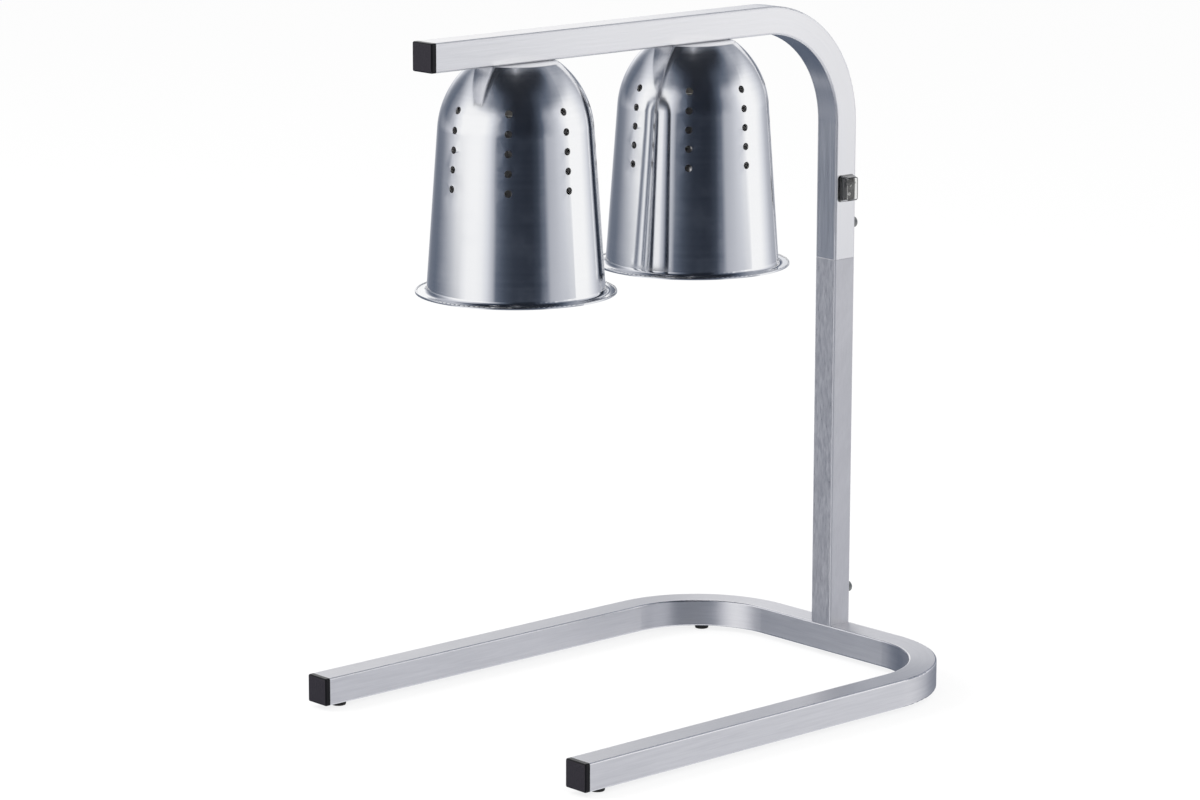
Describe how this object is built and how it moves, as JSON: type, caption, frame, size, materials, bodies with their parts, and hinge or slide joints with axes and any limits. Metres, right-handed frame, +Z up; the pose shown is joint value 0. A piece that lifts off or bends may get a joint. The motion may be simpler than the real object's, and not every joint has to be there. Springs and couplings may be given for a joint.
{
  "type": "food heat lamp",
  "caption": "Free-standing food heat lamp: square tube bent into a U base and an overhead arm, spun bell shades with reflector bulbs, rocker switch under a clear boot.",
  "frame": {"origin": "on the counter, under the middle of the whole lamp's bounding box", "axes": "+Z up, -Y to the front where the arm reaches and the base is open, +X to the side that carries the switch"},
  "size_m": [0.367, 0.5128, 0.611],
  "materials": {
    "brushed_tube": "brushed satin",
    "spun_shade": "polished, spun",
    "black_plastic": "moulded, matt",
    "black_rubber": "matt",
    "dark_steel": "blackened, knurled",
    "zinc_steel": "zinc plated",
    "rivet_aluminium": "plain",
    "ceramic": "glazed ceramic",
    "contact_brass": "plain",
    "lamp_glass": "clear front, mirrored back",
    "lamp_cap": "nickel plated, rolled thread",
    "tip_glass": "black insulator with solder tip",
    "filament_wire": "plain",
    "switch_black": "semi-gloss",
    "clear_boot": "clear, soft",
    "block_white": "moulded",
    "wire_cover": "heat-proof sleeve"
  },
  "bodies": {
    "base": {"base_frame": "brushed_tube", "base_end_cap_left": "black_plastic", "base_end_cap_right": "black_plastic", "foot_front_left": "black_rubber", "foot_front_right": "black_rubber", "foot_rear_left": "black_rubber", "foot_rear_right": "black_rubber", "foot_screws": "zinc_steel", "base_spigot": "brushed_tube", "spigot_bolts": "zinc_steel"},
    "post": {"lower_post": "brushed_tube", "post_spigot": "brushed_tube", "spigot_rivets": "rivet_aluminium", "lower_clamp_boss": "dark_steel"},
    "lower_screw": {"lower_clamp_screw": "dark_steel"},
    "upper_screw": {"upper_clamp_screw": "dark_steel"},
    "rocker": {"switch_rocker": "switch_black"},
    "bulb_front": {"bulb_glass_front": "lamp_glass", "bulb_cap_front": "lamp_cap", "bulb_tip_front": "tip_glass", "filament_front": "filament_wire"},
    "bulb_rear": {"bulb_glass_rear": "lamp_glass", "bulb_cap_rear": "lamp_cap", "bulb_tip_rear": "tip_glass", "filament_rear": "filament_wire"},
    "arm": {"upper_clamp_boss": "dark_steel", "upper_arm": "brushed_tube", "arm_end_cap": "black_plastic", "shade_front": "spun_shade", "lampholder_front": "ceramic", "socket_shell_front": "contact_brass", "centre_contact_front": "contact_brass", "lampholder_screws_front": "zinc_steel", "nut_plate_front": "zinc_steel", "wire_bushes_front": "wire_cover", "lamp_wires_front": "wire_cover", "shade_rear": "spun_shade", "lampholder_rear": "ceramic", "socket_shell_rear": "contact_brass", "centre_contact_rear": "contact_brass", "lampholder_screws_rear": "zinc_steel", "nut_plate_rear": "zinc_steel", "wire_bushes_rear": "wire_cover", "lamp_wires_rear": "wire_cover", "switch_body": "switch_black", "switch_boot": "clear_boot", "switch_blades": "contact_brass", "terminal_block": "block_white", "terminal_block_screw": "zinc_steel", "switch_wires": "wire_cover", "cord_bushing": "black_plastic"}
  },
  "joints": [
    {"name": "post_lift", "type": "slide", "parent": "base", "child": "post", "axis": [0, 0, 1], "range_m": [0, 0.06]},
    {"name": "arm_lift", "type": "slide", "parent": "post", "child": "arm", "axis": [0, 0, 1], "range_m": [0, 0.06]},
    {"name": "lower_screw_turn", "type": "hinge", "parent": "post", "child": "lower_screw", "pos_m": [0, 0.24485, 0.06], "axis": [0, 1, 0], "range_deg": [0, 720]},
    {"name": "upper_screw_turn", "type": "hinge", "parent": "arm", "child": "upper_screw", "pos_m": [0, 0.24485, 0.4035], "axis": [0, 1, 0], "range_deg": [0, 720]},
    {"name": "switch_rock", "type": "hinge", "parent": "arm", "child": "rocker", "pos_m": [0.0125, 0.23235, 0.4385], "axis": [0, -1, 0], "range_deg": [0, 24]},
    {"name": "front_bulb_out", "type": "slide", "parent": "arm", "child": "bulb_front", "axis": [0, 0, -1], "range_m": [0, 0.19]},
    {"name": "rear_bulb_out", "type": "slide", "parent": "arm", "child": "bulb_rear", "axis": [0, 0, -1], "range_m": [0, 0.19]}
  ]
}
